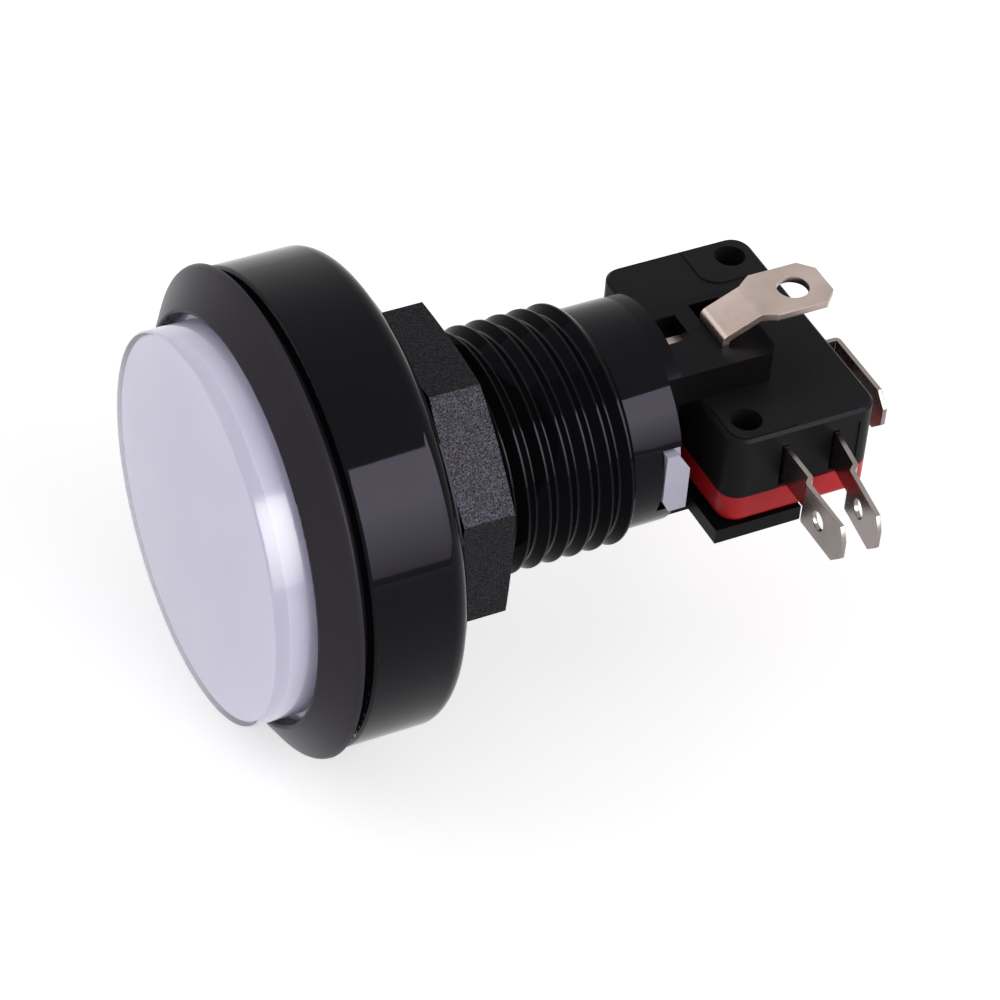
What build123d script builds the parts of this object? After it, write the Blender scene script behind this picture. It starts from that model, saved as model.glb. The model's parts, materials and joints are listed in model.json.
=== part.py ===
"""Illuminated round arcade push button with a lamp holder and a snap-action switch.

Millimetres. Y is the button's axis with the lens towards -Y, Z is up, and the switch's
changeover terminals leave towards +X. The origin is the centre of the face that seats on the panel.
"""
import math
import os

from build123d import *

# Head: bowl, bezel ring and lens
bowl_dia = 46.4
bowl_depth = 10.3
bowl_wall = 1.3
bowl_floor = 2.4
bowl_back_round = 1.9
bowl_front_round = 0.5
seat_rim_height = 0.4
seat_rim_inset = 0.2
ring_dia = 47.4
ring_opening_dia = 39.2
ring_height = 3.15
ring_lip = 1.3
ring_edge = 0.4
ring_edge_round = 0.35
ring_outer_share = 0.9
ring_groove = 1.05
ring_skirt_wall = 1.1
ring_skirt_length = 5.8
lens_dia = 37.8
lens_stand_out = 3.3
lens_face = 1.5
lens_side = 0.5
lens_edge_round = 0.25
diffuser_wall = 1.2
flange_thickness = 0.8
plunger_flange = 1.2
slide_clearance = 0.3
fit_clearance = 0.1
snug_clearance = 0.05

# Barrel and its thread
barrel_dia = 22.1
barrel_length = 27.4
barrel_wall = 1.44
thread_dia = 24.1
thread_pitch = 2.17
thread_crest = 0.18
thread_root = 0.14
thread_root_dia = 22.6
thread_start = 2.3
thread_end_gap = 5.4
thread_sink = 0.03

# Mounting nut
nut_flats = 29.7
nut_sides = 8
nut_turn = 21.6
nut_front = 2.2
nut_thickness = 5.45
nut_chamfer_angle = 8.0
thread_clearance = 0.2

# Button travel, plunger and return spring
travel = 2.2
plunger_wall = 1.2
plunger_tube_gap = 0.5
leg_width = 7.0
hook_inset = 1.9
hook_length = 2.6
hook_stand_out = 0.08
hook_corner = 1.5
hook_cut_length = 1.4
hook_cut_height = 2.1
foot_width = 3.8
spring_wire = 1.0
spring_turns = 5

# Lamp holder
holder_width = 13.2
plug_length = 13.2
plug_side_gap = 0.1
flange_plate = 1.5
arm_far = -3.5
arm_near = 6.6
arm_height = 3.5
arm_reach = 8.4
arm_corner = 1.5
base_plate = 1.65
base_plate_lead = 0.9
base_plate_lap = 0.2
bead_inset = 2.8
bead_width = 0.8
bead_height = 0.6
bead_root = 2.0
window_width = 3.7
window_gap = 1.0
window_length = 2.6
slot_length = 2.7
slot_far = -2.6
slot_near = 0.6
peg_height = 4.0

# Lamp with a wedge base
lamp_base_width = 9.4
lamp_base_thickness = 4.9
lamp_base_length = 7.4
lamp_base_corner = 1.0
lamp_bulb_dia = 9.2
lamp_bulb_length = 11.0
lamp_bulb_dome = 0.9
lead_dia = 0.4
lead_inset = 1.0

# Lamp terminals
lamp_tab_thickness = 0.8
lamp_tab_centre = 1.8
lamp_strip_width = 4.6
lamp_tab_width = 6.3
lamp_tab_length = 7.4
lamp_tab_rise = 2.6
lamp_tab_hole = 3.2
lamp_tab_hole_from_end = 3.5
lamp_tab_slope = 4.3
lamp_strip_depth = 1.8
lamp_riser_inset = 3.9
lamp_riser_height = 0.7
lamp_strip_bend = 0.5
lamp_tab_bend = 4.0
lamp_contact_inset = 1.8
lamp_channel_lead = 2.0
lamp_contact_length = 6.5
lamp_contact_rise = 2.0
tab_corner = 1.4

# Snap-action switch
switch_length = 27.8
switch_height = 15.9
switch_thickness = 10.3
switch_centre = -0.2
switch_stand_off = 3.6
switch_top = 5.3
cover_thickness = 3.2
case_wall = 1.2
case_corner = 2.0
case_edge = 0.3
cover_edge_round = 0.8
pad_length = 6.6
pad_width = 5.6
pad_height = 0.15
pad_inset = 0.5
pad_corner = 2.0
switch_hole_dia = 3.1
switch_hole_inset = 2.8
hole_boss_wall = 0.65
end_recess = 0.15
end_recess_lip = 1.4
end_recess_inset = 5.4
peg_clearance = 0.1

# Switch terminals and contacts
tab_thickness = 0.5
tab_width = 4.8
tab_level = 0.9
tab_neck = 3.9
tab_neck_length = 4.6
tab_step = 0.65
tab_reach = 12.4
tab_hole = 2.0
tab_hole_from_tip = 4.4
tab_bend = 0.35
closed_inset = 5.9
open_inset = 11.4
open_tab_lean = 8.0
tab_root_lap = 0.8
common_tab_stand_off = 2.4
common_tab_offset = 1.8
common_tab_length = 9.6
common_strip_gap = 1.8
contact_dia = 2.4
contact_inset = 4.7
contact_gap = 0.95
closed_gap = 0.1
blade_inset = 8.5
blade_thickness = 0.4
blade_width = 3.6
blade_pivot_inset = 1.9
blade_end_lap = 1.4
knuckle_dia = 1.2
contact_head = 0.55
rivet_dia = 1.2
snap_leaf = 0.2
snap_leaf_offset = 6.7
snap_leaf_length = 7.5

# Switch pin
pin_inset = 6.1
pin_dia = 2.4
pin_stand_out = 2.4
pin_collar_dia = 3.4
pin_collar = 0.8
pin_tail_dia = 1.4
pin_tail_gap = 0.6
pin_gap = 0.1

# Places and radii that follow from the sizes above
bowl_r = bowl_dia / 2
bowl_bore_r = bowl_r - bowl_wall
bowl_front = -bowl_depth
bowl_floor_place = -bowl_floor
ring_r = ring_dia / 2
ring_opening_r = ring_opening_dia / 2
ring_back = bowl_front - ring_groove
ring_front = ring_back - ring_height
ring_skirt_r = bowl_bore_r - 2 * fit_clearance
ring_skirt_bore_r = ring_skirt_r - ring_skirt_wall
ring_seat = ring_back + ring_skirt_length
ring_seat_r = ring_skirt_bore_r + ring_skirt_wall / 4
ring_cone = math.atan2(ring_height - ring_edge, ring_r - ring_opening_r)
ring_outer_round = ring_outer_share * ring_edge / math.tan((math.pi / 2 - ring_cone) / 2)
lens_r = lens_dia / 2
lens_front = ring_front - lens_stand_out
flange_r = ring_skirt_bore_r - slide_clearance
flange_front = ring_front + ring_lip + slide_clearance
flange_back = flange_front + flange_thickness
plunger_back = flange_back + plunger_flange
barrel_r = barrel_dia / 2
bore_r = barrel_r - barrel_wall
thread_r = thread_dia / 2
thread_root_r = thread_root_dia / 2
thread_height = thread_r - thread_root_r
thread_slope = (thread_pitch - thread_crest - thread_root) / 2 / thread_height
thread_end = barrel_length - thread_end_gap
tube_r = bore_r - slide_clearance
tube_bore_r = tube_r - plunger_wall
plug_front = barrel_length - plug_length
plunger_tube_end = plug_front - travel - plunger_tube_gap
hook_front = barrel_length - hook_inset
hook_r = barrel_r + hook_stand_out
hook_end = hook_front + hook_length
notch_front = hook_front - fit_clearance
notch_width = leg_width + 2 * slide_clearance
bead_place = barrel_length - bead_inset
switch_front = barrel_length + switch_stand_off
switch_back = switch_front + switch_height
switch_bottom = switch_top - switch_thickness
cover_top = switch_bottom + cover_thickness
case_far = switch_centre - switch_length / 2
case_near = switch_centre + switch_length / 2
foot_end = switch_front - pin_stand_out - pin_gap
flange_plate_end = barrel_length + flange_plate
window_front = flange_plate_end + window_gap
window_end = window_front + window_length
base_plate_front = switch_front - base_plate_lead
arm_end = switch_front + arm_reach
arm_top = switch_top + arm_height
arm_bottom = -arm_top
near_hole = (case_near - switch_hole_inset, switch_front + switch_hole_inset)
far_hole = (case_far + switch_hole_inset, switch_back - switch_hole_inset)
lamp_contact_end = plug_front + lamp_contact_inset
lamp_riser = switch_front + lamp_riser_inset
slot_end = lamp_riser + slot_length
lamp_tab_neck = lamp_riser + lamp_tab_slope
lamp_tab_end = lamp_tab_neck + lamp_tab_length
lamp_strip_level = arm_top - lamp_strip_depth
lamp_tab_level = arm_top + lamp_tab_rise
lamp_contact_level = lamp_base_thickness / 2 + lead_dia + lamp_tab_thickness / 2
end_recess_start = switch_front + end_recess_inset
tab_step_place = case_near + tab_neck_length
tab_tip = case_near + tab_reach
closed_place = switch_front + closed_inset
open_place = switch_front + open_inset
contact_place = case_near - contact_inset
tab_root = contact_place - tab_root_lap
blade_place = switch_front + blade_inset
blade_pivot = case_far + blade_pivot_inset
blade_end = contact_place + blade_end_lap
common_tab_place = switch_back + common_tab_stand_off
common_tab_start = switch_centre + common_tab_offset
common_tab_end = common_tab_start + common_tab_length
common_strip_place = blade_place + common_strip_gap
snap_leaf_start = blade_pivot + snap_leaf_offset
snap_leaf_end = snap_leaf_start + snap_leaf_length
pin_place = case_far + pin_inset
tab_top = tab_level + tab_width / 2
tab_bottom = tab_level - tab_width / 2
beyond = 100.0
over_cut = 1.0


def turned(points, rounds=()):
    """Solid turned about the Y axis from (radius, place along Y) points, with some corners rounded."""
    face = make_face(Polyline(*points, close=True))
    for place, radius in rounds:
        face = fillet(face.vertices().sort_by_distance(place)[0], radius)
    return revolve(face, Axis.Y)


def tube(outer_r, inner_r, start, end):
    """Plain round tube about the Y axis."""
    return turned([(inner_r, start), (outer_r, start), (outer_r, end), (inner_r, end)])


def rod(radius, start, end, x=0.0, z=0.0):
    """Plain round rod along Y."""
    return Pos(x, (start + end) / 2, z) * Rot(90, 0, 0) * Cylinder(radius, end - start)


def slab(x, y, z):
    """Box between two limits on each axis."""
    size = [limits[1] - limits[0] for limits in (x, y, z)]
    middle = [(limits[1] + limits[0]) / 2 for limits in (x, y, z)]
    return Pos(*middle) * Box(*size)


def prism(face, axis, start, end):
    """Flat outline pushed along X, Y or Z between two places; its points are the other two axes in order."""
    planes = {
        "X": Plane((start, 0, 0), x_dir=(0, 1, 0), z_dir=(1, 0, 0)),
        "Y": Plane((0, start, 0), x_dir=(1, 0, 0), z_dir=(0, -1, 0)),
        "Z": Plane((0, 0, start), x_dir=(1, 0, 0), z_dir=(0, 0, 1)),
    }
    length = start - end if axis == "Y" else end - start
    return extrude(planes[axis] * face, amount=length)


def outline(*points):
    """Flat face inside a closed run of straight edges."""
    return make_face(Polyline(*points, close=True))


def folded(points, thickness, bend, axis, start, end):
    """Strip of sheet metal along a folded line seen along one axis, between two places on that axis."""
    line = FilletPolyline(*points, radius=bend)
    return prism(trace(line, line_width=thickness), axis, start, end)


def helical_ridge(foot_r, crest_r, crest_width, start, end, shift=0.0):
    """Screw thread ridge about Y, cut off square at both ends."""
    foot_width = crest_width + 2 * thread_slope * abs(crest_r - foot_r)
    turns_start = start - 2 * thread_pitch
    height = end - start + 4 * thread_pitch
    path = Helix(thread_pitch, height, foot_r)
    section = Plane.XZ * outline(
        (foot_r, -foot_width / 2),
        (crest_r, -crest_width / 2),
        (crest_r, crest_width / 2),
        (foot_r, foot_width / 2),
    )
    ridge = sweep(section, path=path, is_frenet=True)
    first_turn = math.floor(turns_start / thread_pitch) * thread_pitch + shift
    ridge = Pos(0, first_turn, 0) * Rot(-90, 0, 0) * ridge
    reach = max(foot_r, crest_r) + over_cut
    return ridge & rod(reach, start, end)


def make_housing():
    """Bowl and threaded barrel, moulded in one."""
    rim_r = bowl_r - bowl_back_round - seat_rim_inset
    body = turned(
        [
            (bore_r, bowl_floor_place),
            (ring_seat_r, bowl_floor_place),
            (ring_seat_r, ring_seat),
            (bowl_bore_r, ring_seat),
            (bowl_bore_r, bowl_front),
            (bowl_r, bowl_front),
            (bowl_r, -seat_rim_height),
            (rim_r, -seat_rim_height),
            (rim_r, 0),
            (barrel_r, 0),
            (barrel_r, thread_start),
            (thread_root_r, thread_start),
            (thread_root_r, thread_end),
            (barrel_r, thread_end),
            (barrel_r, barrel_length),
            (bore_r, barrel_length),
        ],
        [((bowl_r, bowl_front), bowl_front_round), ((bowl_r, -seat_rim_height), bowl_back_round)],
    )
    groove_half = bead_width / 2 + fit_clearance
    groove_r = bore_r + bead_height
    body -= tube(groove_r, bore_r - over_cut, bead_place - groove_half, bead_place + groove_half)
    half_notch = notch_width / 2
    body -= slab((-beyond, beyond), (notch_front, barrel_length + over_cut), (-half_notch, half_notch))
    foot_r = thread_root_r - thread_sink
    return body + helical_ridge(foot_r, thread_r, thread_crest, thread_start, thread_end)


def make_mounting_nut():
    """Eight-sided nut with turned corners and an inside thread."""
    nut_end = nut_front + nut_thickness
    corner_r = nut_flats / 2 / math.cos(math.pi / nut_sides)
    half_flats = nut_flats / 2
    cut = (corner_r - half_flats) * math.tan(math.radians(nut_chamfer_angle))
    shape = RegularPolygon(corner_r, nut_sides, rotation=nut_turn)
    body = prism(shape, "Y", nut_front, nut_end)
    body &= turned(
        [
            (0, nut_front),
            (half_flats, nut_front),
            (corner_r, nut_front + cut),
            (corner_r, nut_end - cut),
            (half_flats, nut_end),
            (0, nut_end),
        ]
    )
    nut_bore_r = thread_r + thread_clearance
    body -= rod(nut_bore_r, nut_front - over_cut, nut_end + over_cut)
    foot_r = nut_bore_r + thread_sink
    crest_r = nut_bore_r - thread_height
    return body + helical_ridge(foot_r, crest_r, thread_root, nut_front, nut_end, thread_pitch / 2)


def make_bezel_ring():
    """Conical front ring with a skirt that seats inside the bowl."""
    edge_front = ring_back - ring_edge
    return turned(
        [
            (ring_opening_r, ring_front),
            (ring_r, edge_front),
            (ring_r, ring_back),
            (ring_skirt_r, ring_back),
            (ring_skirt_r, ring_seat),
            (ring_skirt_bore_r, ring_seat),
            (ring_skirt_bore_r, ring_front + ring_lip),
            (ring_opening_r, ring_front + ring_lip),
        ],
        [
            ((ring_opening_r, ring_front), ring_edge_round),
            ((ring_r, edge_front), ring_outer_round),
        ],
    )


def make_lens_cover():
    """Clear cap with a foot flange that stays behind the ring."""
    inner_r = lens_r - lens_side
    inner_face = lens_front + lens_face
    return turned(
        [
            (0, lens_front),
            (lens_r, lens_front),
            (lens_r, flange_front),
            (flange_r, flange_front),
            (flange_r, flange_back),
            (inner_r, flange_back),
            (inner_r, inner_face),
            (0, inner_face),
        ],
        [((lens_r, lens_front), lens_edge_round)],
    )


def make_diffuser():
    """Milky cap under the lens."""
    outer_r = lens_r - lens_side - snug_clearance
    face = lens_front + lens_face
    return turned(
        [
            (0, face),
            (outer_r, face),
            (outer_r, flange_back),
            (outer_r - diffuser_wall, flange_back),
            (outer_r - diffuser_wall, face + diffuser_wall),
            (0, face + diffuser_wall),
        ]
    )


def make_plunger():
    """White slider: flange under the lens, guide tube, two hooked legs and the foot over the switch pin."""
    body = turned(
        [
            (tube_bore_r, flange_back),
            (flange_r, flange_back),
            (flange_r, plunger_back),
            (tube_r, plunger_back),
            (tube_r, hook_end),
            (tube_bore_r, hook_end),
        ]
    )
    half_leg = leg_width / 2
    for low, high in ((half_leg, beyond), (-beyond, -half_leg)):
        body -= slab((-beyond, beyond), (plunger_tube_end, beyond), (low, high))
    hook = outline(
        (hook_front, half_leg),
        (hook_front, -half_leg + hook_corner),
        (hook_front + hook_corner / 2, -half_leg),
        (hook_end, -half_leg),
        (hook_end, half_leg - hook_cut_height),
        (hook_end - hook_cut_length, half_leg),
    )
    root = tube_r - plunger_wall / 2
    body += prism(hook, "X", root, hook_r)
    body += prism(hook, "X", -hook_r, -root)
    foot_inner = -holder_width / 2 - slide_clearance
    foot_limits = (tab_level - foot_width / 2, tab_level + foot_width / 2)
    foot = slab((-tube_r, foot_inner), (hook_front, foot_end), foot_limits)
    return body + (foot & rod(tube_r, 0, beyond))


def make_return_spring():
    """Coil spring between the bowl's floor and the plunger's flange."""
    coil_r = bore_r + spring_wire
    low = plunger_back + spring_wire / 2 + snug_clearance
    high = bowl_floor_place - spring_wire / 2 - snug_clearance
    path = Helix((high - low) / spring_turns, high - low, coil_r)
    coil = sweep(Plane(path @ 0, z_dir=path % 0) * Circle(spring_wire / 2), path=path, is_frenet=True)
    return Pos(0, low, 0) * Rot(-90, 0, 0) * coil


def lamp_strip(thickness, extra):
    """Lamp terminal's strip from the lamp's side to its tab, seen along X and pushed to its width."""
    rise_start = lamp_contact_end + lamp_contact_length
    points = [
        (lamp_contact_end - extra, lamp_contact_level),
        (rise_start, lamp_contact_level),
        (rise_start + lamp_contact_rise, lamp_strip_level),
        (lamp_riser, lamp_strip_level),
        (lamp_riser, arm_top + lamp_riser_height),
        (lamp_tab_neck, lamp_tab_level),
        (lamp_tab_end, lamp_tab_level),
    ]
    bends = [lamp_strip_bend for _ in points[3:]] + [lamp_tab_bend]
    half = lamp_tab_width / 2 + extra
    return folded(points, thickness, bends, "X", lamp_tab_centre - half, lamp_tab_centre + half)


def make_lamp_terminal_upper():
    """Upper lamp terminal: inner contact, riser through the arm and a tab with a hole."""
    half_strip = lamp_strip_width / 2
    half_tab = lamp_tab_width / 2
    plan = outline(
        (lamp_tab_centre - half_strip, lamp_contact_end),
        (lamp_tab_centre + half_strip, lamp_contact_end),
        (lamp_tab_centre + half_strip, lamp_tab_neck - tab_corner / 2),
        (lamp_tab_centre + half_tab, lamp_tab_neck + tab_corner / 2),
        (lamp_tab_centre + half_tab, lamp_tab_end - tab_corner),
        (lamp_tab_centre + half_tab - tab_corner, lamp_tab_end),
        (lamp_tab_centre - half_tab + tab_corner, lamp_tab_end),
        (lamp_tab_centre - half_tab, lamp_tab_end - tab_corner),
        (lamp_tab_centre - half_tab, lamp_tab_neck + tab_corner / 2),
        (lamp_tab_centre - half_strip, lamp_tab_neck - tab_corner / 2),
    )
    hole = Pos(lamp_tab_centre, lamp_tab_end - lamp_tab_hole_from_end) * Circle(lamp_tab_hole / 2)
    body = lamp_strip(lamp_tab_thickness, 0.0) & prism(plan, "Z", 0, beyond)
    return body - prism(hole, "Z", lamp_strip_level + lamp_tab_thickness, beyond)


def make_lamp_holder():
    """Plug with the lamp socket, flange bar, and two arms that hold the switch between them."""
    half = holder_width / 2
    width = (-half, half)
    everywhere = (-beyond, beyond)
    body = slab(width, (plug_front, barrel_length), everywhere)
    body &= rod(bore_r - plug_side_gap, plug_front, barrel_length)
    bead_limits = (bead_place - bead_width / 2, bead_place + bead_width / 2)
    bead = tube(bore_r - plug_side_gap + bead_height, bore_r - bead_root, *bead_limits)
    body += bead & slab((-half / 2, half / 2), bead_limits, everywhere)
    plate = slab(width, (barrel_length, flange_plate_end), everywhere)
    body += plate & rod(barrel_r, barrel_length, flange_plate_end)
    arm_plan = outline(
        (arm_far, barrel_length),
        (arm_near, barrel_length),
        (arm_near, arm_end),
        (arm_far, arm_end),
    )
    arm_plan = fillet(arm_plan.vertices().sort_by_distance((arm_near, arm_end))[0], arm_corner)
    body += prism(arm_plan, "Z", switch_top, arm_top)
    body += prism(arm_plan, "Z", arm_bottom, switch_bottom)
    base_limits = (case_far - base_plate_lap, case_near + base_plate_lap)
    body += slab(base_limits, (base_plate_front, arm_end), (switch_bottom - base_plate, switch_bottom))
    peg_r = switch_hole_dia / 2 - peg_clearance
    body += Pos(*near_hole, switch_bottom + peg_height / 2) * Cylinder(peg_r, peg_height)
    socket_half = lamp_base_width / 2 + fit_clearance
    socket_deep = lamp_base_thickness / 2 + fit_clearance
    socket_end = plug_front + lamp_base_length + fit_clearance
    socket_limits = (plug_front - over_cut, socket_end)
    body -= slab((-socket_half, socket_half), socket_limits, (-socket_deep, socket_deep))
    lead_limits = (lamp_tab_centre - lead_dia, lamp_tab_centre + lead_dia)
    lead_levels = (-lamp_contact_level, lamp_contact_level)
    body -= slab(lead_limits, socket_limits, lead_levels)
    room = lamp_tab_thickness + 2 * fit_clearance
    strip_half = lamp_strip_width / 2 + fit_clearance
    strip_limits = (lamp_tab_centre - strip_half, lamp_tab_centre + strip_half)
    channel = lamp_strip(room, lamp_channel_lead) & slab(strip_limits, everywhere, everywhere)
    body -= channel
    body -= mirror(channel, Plane.XY)
    opening_front = lamp_riser - lamp_tab_thickness / 2 - fit_clearance
    opening = slab((slot_far, slot_near), (opening_front, slot_end), (lamp_strip_level, beyond))
    window_limits = (-window_width / 2, window_width / 2)
    window = slab(window_limits, (window_front, window_end), (lamp_strip_level, beyond))
    body -= opening
    body -= mirror(opening, Plane.XY)
    return body - window


def make_lamp_base():
    """Wedge base of the lamp."""
    half = lamp_base_width / 2
    base_end = plug_front + lamp_base_length
    plan = outline(
        (-half, plug_front),
        (half, plug_front),
        (half, base_end - lamp_base_corner),
        (half - lamp_base_corner, base_end),
        (lamp_base_corner - half, base_end),
        (-half, base_end - lamp_base_corner),
    )
    half_deep = lamp_base_thickness / 2
    return prism(plan, "Z", -half_deep, half_deep)


def make_lamp_bulb():
    """Round lamp capsule with a domed end, in front of the wedge base."""
    radius = lamp_bulb_dia / 2
    front = plug_front - lamp_bulb_length
    return turned(
        [(0, front), (radius, front), (radius, plug_front), (0, plug_front)],
        [((radius, front), radius * lamp_bulb_dome)],
    )


def make_lamp_leads():
    """The lamp's two wire leads, folded along the sides of its base."""
    level = lamp_base_thickness / 2 + lead_dia / 2
    end = plug_front + lamp_base_length - lamp_base_corner
    start = lamp_contact_end + lead_inset
    upper = rod(lead_dia / 2, start, end, lamp_tab_centre, level)
    lower = rod(lead_dia / 2, start, end, lamp_tab_centre, -level)
    return Compound(children=[upper, lower])


def switch_plan(inset):
    """Outline of the switch's case seen from above, moved in all round."""
    plan = Rectangle(switch_length - 2 * inset, switch_height - 2 * inset)
    if inset < case_corner:
        plan = fillet(plan.vertices(), case_corner - inset)
    return Pos(switch_centre, (switch_front + switch_back) / 2) * plan


def hole_posts(radius, low, high):
    """Round posts at the switch's two mounting holes."""
    posts = Part()
    for x, y in (near_hole, far_hole):
        posts += Pos(x, y, (low + high) / 2) * Cylinder(radius, high - low)
    return posts


def corner_pad(x, y, x_sense, y_sense):
    """Low pad on the switch's top round one mounting hole, from its outer corner inwards."""
    far_x = x + x_sense * pad_width
    far_y = y + y_sense * pad_length
    plan = outline((x, y), (far_x, y), (far_x, far_y), (x, far_y))
    for corner, radius in (((far_x, far_y), pad_corner), ((x, y), case_corner - pad_inset)):
        plan = fillet(plan.vertices().sort_by_distance(corner)[0], radius)
    return prism(plan, "Z", switch_top, switch_top + pad_height)


def make_switch_case():
    """Black half of the switch, open below, with slots for the pin and the terminals."""
    body = prism(switch_plan(0), "Z", cover_top, switch_top)
    body = chamfer(body.faces().sort_by(Axis.Z)[-1].edges(), case_edge)
    body += corner_pad(case_near - pad_inset, switch_front + pad_inset, -1, 1)
    body += corner_pad(case_far + pad_inset, switch_back - pad_inset, 1, -1)
    inside = prism(switch_plan(case_wall), "Z", cover_top - over_cut, switch_top - case_wall)
    boss_r = switch_hole_dia / 2 + hole_boss_wall
    body -= inside - hole_posts(boss_r, cover_top - over_cut, switch_top)
    body -= hole_posts(switch_hole_dia / 2, cover_top - over_cut, switch_top + over_cut)
    recess_limits = (end_recess_start, switch_back - case_corner)
    recess_depth = (case_near - end_recess, case_near + over_cut)
    body -= slab(recess_depth, recess_limits, (cover_top, switch_top - end_recess_lip))
    pin_hole_r = pin_dia / 2 + fit_clearance
    pin_hole_end = switch_front + case_wall + over_cut
    body -= rod(pin_hole_r, switch_front - over_cut, pin_hole_end, pin_place, tab_level)
    half_slot = tab_thickness / 2 + fit_clearance
    slot_levels = (tab_bottom - fit_clearance, tab_top + fit_clearance)
    for place in (closed_place, open_place):
        end_wall = (case_near - case_wall - over_cut, case_near + over_cut)
        body -= slab(end_wall, (place - half_slot, place + half_slot), slot_levels)
    back_wall = (switch_back - case_wall - over_cut, switch_back + over_cut)
    common_limits = (common_tab_start - half_slot, common_tab_start + half_slot)
    return body - slab(common_limits, back_wall, slot_levels)


def make_switch_cover():
    """Red cover that closes the switch below."""
    body = prism(switch_plan(0), "Z", switch_bottom, cover_top)
    body = fillet(body.faces().sort_by(Axis.Z)[0].edges(), cover_edge_round)
    inside = prism(switch_plan(case_wall), "Z", switch_bottom + case_wall, cover_top + over_cut)
    boss_r = switch_hole_dia / 2 + hole_boss_wall
    body -= inside - hole_posts(boss_r, switch_bottom, cover_top + over_cut)
    return body - hole_posts(switch_hole_dia / 2, switch_bottom - over_cut, cover_top + over_cut)


def changeover_terminal(place, lean):
    """End terminal of the switch: root inside, narrow neck, sideways step and a pierced tab."""
    slope = math.tan(math.radians(lean))
    wall = case_near
    step_end = tab_step_place + tab_step
    points = [(tab_root, place), (wall, place)]
    points.append((tab_step_place, place - slope * (tab_step_place - wall)))
    points.append((step_end, place - tab_step - slope * (step_end - wall)))
    points.append((tab_tip, place - tab_step - slope * (tab_tip - wall)))
    if lean == 0:
        points.pop(1)
    sheet = folded(points, tab_thickness, tab_bend, "Z", tab_bottom, tab_top)
    neck_bottom = tab_top - tab_neck
    side = outline(
        (tab_root, neck_bottom),
        (tab_step_place, neck_bottom),
        (step_end, tab_bottom),
        (tab_tip - tab_corner, tab_bottom),
        (tab_tip, tab_bottom + tab_corner),
        (tab_tip, tab_top - tab_corner),
        (tab_tip - tab_corner / 2, tab_top),
        (tab_root, tab_top),
    )
    side -= Pos(tab_tip - tab_hole_from_tip, tab_level) * Circle(tab_hole / 2)
    return sheet & prism(side, "Y", place - switch_height, place + switch_height)


def make_terminal_common():
    """Common terminal: pivot seat inside, then out through the back and along it."""
    pivot_clear = blade_place + knuckle_dia / 2 + fit_clearance
    points = [
        (blade_pivot, pivot_clear),
        (blade_pivot, common_strip_place),
        (common_tab_start, common_strip_place),
        (common_tab_start, common_tab_place),
        (common_tab_end, common_tab_place),
    ]
    sheet = folded(points, tab_thickness, tab_bend, "Z", tab_bottom, tab_top)
    tab_limits = (switch_back + fit_clearance, common_tab_place + tab_thickness)
    for level, sense in ((tab_top, -1), (tab_bottom, 1)):
        corner = outline(
            (common_tab_end - tab_corner, level),
            (common_tab_end + over_cut, level),
            (common_tab_end + over_cut, level + sense * (tab_corner + over_cut)),
        )
        sheet -= prism(corner, "Y", *tab_limits)
    hole = Pos(common_tab_end - tab_hole_from_tip, tab_level) * Circle(tab_hole / 2)
    return sheet - prism(hole, "Y", *tab_limits)


def contact_button(start, end):
    """Round silver contact on a switch terminal."""
    return rod(contact_dia / 2, start, end, contact_place, tab_level)


def make_contact_normally_closed():
    """Fixed contact that the blade rests against."""
    seat = closed_place + tab_thickness / 2
    return contact_button(seat, blade_place - blade_thickness / 2 - contact_head - closed_gap)


def make_contact_normally_open():
    """Fixed contact that the blade reaches when the button is pressed."""
    seat = open_place - tab_thickness / 2
    return contact_button(blade_place + blade_thickness / 2 + contact_head + contact_gap, seat)


def make_contact_blade():
    """Moving blade with a rolled pivot end, a slot for the pin's tail and a hole for its contact."""
    half = blade_thickness / 2
    levels = (tab_level - blade_width / 2, tab_level + blade_width / 2)
    body = slab((blade_pivot, blade_end), (blade_place - half, blade_place + half), levels)
    roll = Cylinder(knuckle_dia / 2, blade_width)
    body += Pos(blade_pivot, blade_place, tab_level) * roll
    slot_half = pin_tail_dia / 2 + slide_clearance
    slot_limits = (pin_place - 2 * slot_half, pin_place + 2 * slot_half)
    across = (blade_place - over_cut, blade_place + over_cut)
    body -= slab(slot_limits, across, (tab_level - slot_half, tab_level + slot_half))
    return body - rod(rivet_dia / 2 + snug_clearance, *across, contact_place, tab_level)


def make_moving_contact():
    """Double-headed silver contact riveted through the blade."""
    half = blade_thickness / 2
    body = rod(rivet_dia / 2, blade_place - half, blade_place + half, contact_place, tab_level)
    body += contact_button(blade_place - half - contact_head, blade_place - half)
    return body + contact_button(blade_place + half, blade_place + half + contact_head)


def make_snap_spring():
    """Bowed leaf between the common strip and the blade."""
    strip_face = common_strip_place - tab_thickness / 2 - snap_leaf
    blade_face = blade_place + blade_thickness / 2 + snap_leaf
    middle = ((snap_leaf_start + snap_leaf_end) / 2, (strip_face * 2 + blade_face) / 3)
    bow = ThreePointArc((snap_leaf_start, strip_face), middle, (snap_leaf_end, blade_face))
    quarter = blade_width / 4
    return prism(trace(bow, line_width=snap_leaf), "Z", tab_level - quarter, tab_level + quarter)


def make_switch_pin():
    """Push pin of the switch: head outside, collar behind the wall and tail through the blade's slot."""
    head = switch_front - pin_stand_out
    collar = switch_front + case_wall + fit_clearance
    tail_end = blade_place - blade_thickness / 2 - pin_tail_gap
    body = rod(pin_dia / 2, head, collar, pin_place, tab_level)
    body = fillet(body.faces().sort_by(Axis.Y)[0].edges(), pin_dia / 8)
    body += rod(pin_collar_dia / 2, collar, collar + pin_collar, pin_place, tab_level)
    return body + rod(pin_tail_dia / 2, collar, tail_end, pin_place, tab_level)


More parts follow.
